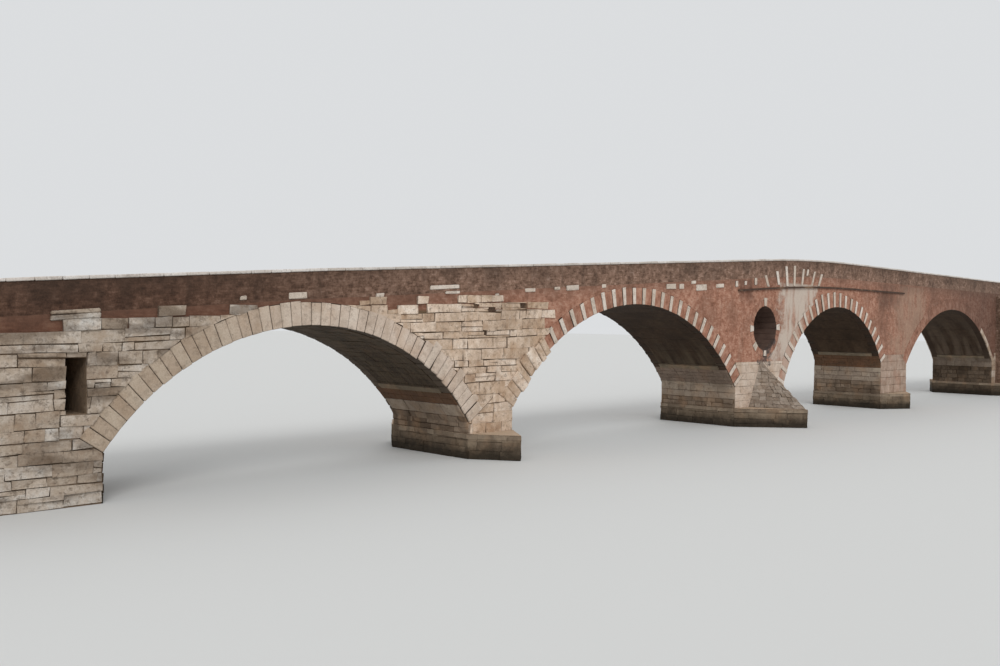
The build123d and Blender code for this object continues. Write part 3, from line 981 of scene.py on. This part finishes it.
# White blocks in the brickwork: x, width, and depths of the top and foot below the coping's top
scattered = [(-5250, 32, 103, 120), (-4994, 88, 98, 128), (-4562, 45, 119, 137), (-4171, 186, 94, 113),
             (-4120, 98, 125, 139), (-3816, 30, 148, 176), (-3572, 77, 128, 149), (-3360, 48, 129, 145),
             (-3232, 105, 124, 152), (-2958, 36, 124, 147), (-2300, 100, 143, 175),
             (-2187, 52, 147, 178), (-2054, 50, 131, 150), (-1960, 120, 155, 196),
             (-1744, 90, 160, 184)]
soldiers = [(-1539, 30, 145, 184), (-1424, 30, 148, 176), (-1292, 30, 131, 178), (-1115, 30, 114, 197),
            (-968, 34, 88, 188), (-845, 34, 54, 200), (-742, 30, 48, 200), (-627, 28, 72, 200),
            (-552, 26, 74, 122), (-472, 28, 89, 200), (-367, 30, 107, 200)]
ledges = [(-5908, 172, 122, 134), (-5908, 172, 137, 154)]
# The soldiers right of a place fan out from a middle, by a share of a radian per millimetre
fan_from = -1200
fan_x = -745
soldier_fan = 0.0014


def hung_blocks(blocks, fan=0.0):
    """Blocks placed by their depths below the coping, whose heads may fan out from a middle."""
    outlines = []
    for x, width, top, bottom in blocks:
        lean = (x - fan_x) * fan * (bottom - top) if x > fan_from else 0
        corners = [(x - width / 2, bottom), (x + width / 2, bottom)]
        corners += [(x + lean + width / 2, top), (x + lean - width / 2, top)]
        outlines.append([(at, road_height(at) - depth) for at, depth in corners])
    return outlines


face_stones("white_blocks", hung_blocks(scattered), white_stone, seed=61, wear=2.6, arris=3)
face_stones("soldier_stones", hung_blocks(soldiers, soldier_fan), white_stone, seed=62, wear=1.5)
face_stones("left_end_ledges", hung_blocks(ledges), pale_limestone, seed=63, relief=9, wear=3.2, arris=4)


# Insides of the arches

def across(reach, length, widths, shortest, draw):
    """Where the stones of one course start and end across the bridge."""
    y = -reach - draw.uniform(0, length)
    while y < reach:
        width = length * draw.uniform(*widths)
        ends = (max(y, -reach) + joint / 2, min(y + width, reach) - joint / 2)
        y += width
        if ends[1] - ends[0] > shortest:
            yield ends


def inner_stones(arch, side, z_from, z_to, course, length, reach):
    """Stones in courses on one side of an opening, up the pier and then round the barrel."""
    count = max(1, round((z_to - z_from) / course))
    outlines = []
    for step in range(count):
        low = z_from + (z_to - z_from) * step / count + joint / 2
        high = z_from + (z_to - z_from) * (step + 1) / count - joint / 2
        for ends in across(reach, length, widths=(0.5, 1.6), shortest=14, draw=ring_draw):
            points = [(arch.side_x(side, z) + side * inner_bedding, y, z)
                      for y, z in rectangle(*ends, low, high)]
            outlines.append(facing(points, (-side, 0, 0)))
    return outlines


# Stones of the first arch's barrel, between its two imposts
barrel_bedding = 3
barrel_outlines = []
impost_angle = first.angle_at(first.impost_z)
angles = even_angles(-impost_angle, impost_angle, first.radius, width=46)
gap = joint / 2 / first.radius
for low, high in zip(angles, angles[1:]):
    inward = (-math.sin((low + high) / 2), 0, -math.cos((low + high) / 2))
    for ends in across(barrel_y, length=130, widths=(0.6, 1.5), shortest=12, draw=ring_draw):
        points = []
        for angle, y in rectangle(low + gap, high - gap, *ends):
            x, z = first.point(first.radius + barrel_bedding, angle)
            points.append((x, y, z))
        barrel_outlines.append(facing(points, inward))
lay_stones("arch_1_barrel_stones", barrel_outlines, sooty_shaded_stone, barrel_bedding + 2, seed=71,
           unevenness=2.5)

# On each side of each arch, from the foot up: rough stones, squared blocks, and a brown course
# under the impost, which is grey in arch 2. The heights are the tops of the first two. A strip lower
# than the lowest course is left bare
bands = [(215, 275), (185, 292), (233, 350), (300, 394), (300, 430)]
lowest_course = 12
feet = [0, *plinth_tops, 0]
rough_outlines = []
block_outlines = []
brown_outlines = []
grey_outlines = []
for number, (arch, (rough_top, block_top)) in enumerate(zip(arches, bands)):
    for side, spring_z, foot in ((-1, arch.left_spring_z, feet[number]),
                                 (1, arch.right_spring_z, feet[number + 1])):
        for outlines, z_from, z_to, course, length in (
                (rough_outlines, foot, rough_top, 38, 75), (block_outlines, rough_top, block_top, 42, 110),
                (grey_outlines if number == 1 else brown_outlines, block_top, arch.impost_z, 27, 90)):
            lower = min(max(spring_z, z_from), z_to)
            for low, high, reach in ((z_from, lower, face_y), (lower, z_to, face_y - 5)):
                if high - low > lowest_course:
                    outlines += inner_stones(arch, side, low, high, course, length, reach)
lay_stones("rough_inner_stones", rough_outlines, rough_stone, inner_bedding + 5, seed=73, unevenness=8,
           wear=2.5, arris=4)
lay_stones("squared_inner_stones", block_outlines, inner_stone, inner_bedding + 4.5, seed=74,
           unevenness=2.5)
for name, outlines, material, seed in (("brown", brown_outlines, brown_course, 75),
                                       ("grey", grey_outlines, grey_course, 76)):
    lay_stones(f"{name}_inner_courses", outlines, material, inner_bedding + 3.5, seed, unevenness=1,
               wear=0.4, arris=1)


# Footings

def wall_between(a, b, z_from, z_to, course, length, draw):
    """Courses of stones on an upright plane from plan point a to b, with the outside on the right."""
    span = math.dist(a, b)
    direction = ((b[0] - a[0]) / span, (b[1] - a[1]) / span)
    outward = (direction[1], -direction[0], 0)
    start = [a[k] - outward[k] * inner_bedding for k in (0, 1)]
    outlines = []
    for row in coursed(0, span, z_from, z_to, course, length, draw):
        row = clip(clip(clip(row, (0, 0), (1, 0)), (span, 0), (-1, 0)), (0, z_to), (0, -1))
        row = inset(row, joint / 2)
        if row and area(row) > smallest_facing:
            corners = [(start[0] + direction[0] * s, start[1] + direction[1] * s, z) for s, z in row]
            outlines.append(facing(corners, outward))
    return outlines


footing_outlines = []
slab_outlines = []
for number in range(4):
    left = pier_lefts[number] - plinth_margin
    right = pier_lefts[number] + pier_widths[number] + plinth_margin
    centre = (left + right) / 2
    top = plinth_tops[number]
    for inset_by, z_from, z_to, outlines, height in (
            (slab_overhang, 0, top - slab_thickness, footing_outlines, 34),
            (0, top - slab_thickness, top, slab_outlines, slab_thickness)):
        front = -(face_y + front_noses[number] - inset_by)
        back = face_y + back_noses[number] - inset_by
        x0, x1 = left + inset_by, right - inset_by
        plan = [(x0, -face_y), (centre, front), (x1, -face_y), (x1, face_y), (centre, back), (x0, face_y)]
        for a, b in zip(plan, plan[1:] + plan[:1]):
            outlines += wall_between(a, b, z_from, z_to, height, length=110, draw=ring_draw)
lay_stones("footing_stones", footing_outlines, footing_stone, inner_bedding + 3, seed=81, unevenness=4,
           wear=2, arris=3)
lay_stones("footing_slab_edges", slab_outlines, slab_stone, inner_bedding + 1, seed=82, wear=1.5, arris=3)

# Both ends of the bridge, finished in the same courses as the abutments
end_draw = random.Random(12)
end_outlines = []
for x, side, top in ((left_end, 1, limestone_top[0][1]), (right_end, -1, abutment_height)):
    end_outlines += wall_between((x, side * face_y), (x, -side * face_y), 0, top, ashlar_course,
                                 ashlar_length, end_draw)
lay_stones("end_wall_stones", end_outlines, pale_limestone, inner_bedding + 3, seed=98, unevenness=3,
           wear=1.6, arris=3)

# Rubble of the cutwaters on pier 2, in rows from the foot to the tip
cutwater_x = pier_lefts[1] + pier_widths[1] / 2
base_z = plinth_tops[1]
rubble_rows = 13
rubble_widths = (24, 64)
narrowest_rubble = 12
rubble = []
rubble_draw = random.Random(9)
for side, nose_length in ((-1, front_noses[1]), (1, back_noses[1])):
    nose_y = face_y + nose_length - cutwater_setback
    apex = Vector((cutwater_x, side * face_y, base_z + cutwater_height))
    nose = Vector((cutwater_x, side * nose_y, base_z))
    for hand in (-1, 1):
        corner = Vector((cutwater_x + hand * cutwater_width / 2, side * face_y, base_z))
        outward = (corner - apex).cross(nose - apex)
        outward = outward if outward.dot(Vector((hand, side, 0))) > 0 else -outward
        inner = outward.normalized() * inner_bedding
        for row in range(rubble_rows):
            t0, t1 = (row + 0.04) / rubble_rows, (row + 0.96) / rubble_rows
            base_length = (nose - corner).length * (1 - t0)
            cuts = [0.0]
            while cuts[-1] < 1:
                cuts.append(cuts[-1] + rubble_draw.uniform(*rubble_widths) / base_length)
            cuts[-1] = 1.0
            for s0, s1 in zip(cuts, cuts[1:]):
                if (s1 - s0) * base_length > narrowest_rubble:
                    s0, s1 = s0 + 1 / base_length, s1 - 1 / base_length
                    points = [corner.lerp(apex, t).lerp(nose.lerp(apex, t), s) - inner
                              for s, t in rectangle(s0, s1, t0, t1)]
                    rubble.append(facing(points, outward))
lay_stones("cutwater_rubble", rubble, cutwater_stone, inner_bedding + 2, seed=91, unevenness=7,
           wear=3, arris=3)


# Coping slabs on both parapets, on a bed of brick
slab_length = 92
coping_count = round((right_end - left_end) / slab_length)


def coping_row(gap, drop, inner, outer):
    """Outlines of one slab after another along both parapets."""
    outlines = []
    for side in (-1, 1):
        for step in range(coping_count):
            x0 = left_end + (right_end - left_end) * step / coping_count + gap
            x1 = left_end + (right_end - left_end) * (step + 1) / coping_count - gap
            points = [(x, side * y, road_height(x) - drop) for x, y in rectangle(x0, x1, inner, outer)]
            outlines.append(facing(points, (0, 0, 1)))
    return outlines


coping_inner = face_y - wall_thickness - coping_overhang
coping_outer = face_y + coping_overhang
slabs = coping_row(gap=0.7, drop=coping_slab + 1.5, inner=coping_inner, outer=coping_outer)
bed = coping_row(gap=0, drop=coping_thickness + 1, inner=coping_inner + 5, outer=coping_outer - 5)
copings = dict(slot="coping_stone", replaced=("coping_front", "coping_back"))
lay_stones("coping_slabs", slabs, coping_stone, coping_slab, seed=95, unevenness=1.5, wear=0.5,
           arris=2.5, **copings)
lay_stones("coping_bed", bed, parapet_brick, coping_thickness - coping_slab, seed=96, unevenness=0,
           wear=0, arris=0.1, **copings)


# Materials of the built nodes

def dress(node, material):
    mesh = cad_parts[node].data
    mesh.materials.clear()
    mesh.materials.append(material)


node_materials = [
    ("spandrel", wall_brick), ("parapet", parapet_brick), ("haunch", core_mortar), ("pier", core_mortar),
    ("abutment", core_mortar), ("plinth", footing_core), ("cutwater", cutwater_stone),
    ("road", road_setts), ("impost", impost_stone), ("string", shadow_line_brick), ("coping", coping_stone),
    ("buttress", parapet_brick), ("ring", voussoir_stone), ("haunch_1", wall_brick),
    ("haunch_6", wall_brick)]
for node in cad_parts:
    for start_of_name, material in node_materials:
        if node.startswith(start_of_name):
            dress(node, material)
for number, (arch, painted_light) in enumerate(zip(arches, barrel_painted_light), start=1):
    soffit = brick_material(f"sooty_shaded_barrel_brick_{number}", **barrel_brick, arch=arch, painted_light=painted_light)
    dress(f"barrel_{number}", soffit)
    if number > 1:
        # Salmon brick whose courses run round the arch, clean outside and black underneath with soot and
        # painted shade
        dress(f"ring_{number}_bricks", brick_material(
            f"ring_brick_{number}", **salmon, arch=arch, soot_and_shade=0.98, ends=(None, "#aaacaf"),
            patches=(ring_wash,) if number == 3 else ()))
# The same brick round the opening, brown with soot and painted shade inside, where the wet run starts
dress("oculus_lining", brick_material("oculus_brick", **salmon, arch=oculus, soot_and_shade=0.82,
                                      soot_and_shade_colour="#4a403b", patches=(wet_run,)))


# Floor of pale matt board, which shows the bridge's soft shadow and no gloss
floor_reach = 60000
floor_corners = rectangle(-floor_reach, floor_reach, -floor_reach, floor_reach)
floor_mesh = bpy.data.meshes.new("pale_floor")
floor_mesh.from_pydata([(x * mm, y * mm, 0) for x, y in floor_corners], [], [(0, 1, 2, 3)])
floor = bpy.data.objects.new("pale_floor", floor_mesh)
bpy.context.scene.collection.objects.link(floor)
floor_material, _, floor_shader = start_material("pale_studio_floor", 0.9, 0.1)
floor_shader.inputs["Base Color"].default_value = colour("#cfcfcd")
floor_mesh.materials.append(floor_material)

# Light: an even pale sky and two soft suns, each with its strength, direction and softness in degrees
world = bpy.data.worlds.new("studio")
world.use_nodes = True
background = world.node_tree.nodes["Background"]
background.inputs["Color"].default_value = colour("#e6e8ea")
background.inputs["Strength"].default_value = 0.9
bpy.context.scene.world = world


def add_sun(name, strength, direction, softness):
    light = bpy.data.lights.new(name, "SUN")
    light.energy = strength
    light.angle = math.radians(softness)
    lamp = bpy.data.objects.new(name, light)
    lamp.rotation_euler = Vector(direction).to_track_quat("-Z", "Y").to_euler()
    bpy.context.scene.collection.objects.link(lamp)


add_sun("soft_key", 1.2, (0.45, 0.75, -0.75), 25)
add_sun("soft_fill", 0.35, (-0.6, -0.5, -0.6), 40)

# Camera at the place the photograph was taken from, with its turns and focal length
camera_place = (-7187.5, middle_y - 3740.1, 666.5)
camera_yaw = math.radians(44.634)
camera_pitch = math.radians(-0.459)
camera_roll = math.radians(0.818)
sensor_width = 36
focal_length = 33.97
forward = Vector((math.sin(camera_yaw) * math.cos(camera_pitch),
                  math.cos(camera_yaw) * math.cos(camera_pitch), math.sin(camera_pitch)))
level_right = Vector((math.cos(camera_yaw), -math.sin(camera_yaw), 0))
level_up = level_right.cross(forward)
turned_right = level_right * math.cos(camera_roll) + level_up * math.sin(camera_roll)
turned_up = -level_right * math.sin(camera_roll) + level_up * math.cos(camera_roll)
lens = bpy.data.cameras.new("camera")
lens.sensor_width = sensor_width
lens.lens = focal_length
lens.clip_end = 200
camera = bpy.data.objects.new("camera", lens)
axes = Matrix((turned_right, turned_up, -forward)).transposed()
camera.matrix_world = Matrix.Translation(Vector(camera_place) * mm) @ axes.to_4x4()
bpy.context.scene.collection.objects.link(camera)
bpy.context.scene.camera = camera
bpy.context.scene.view_settings.view_transform = "Standard"
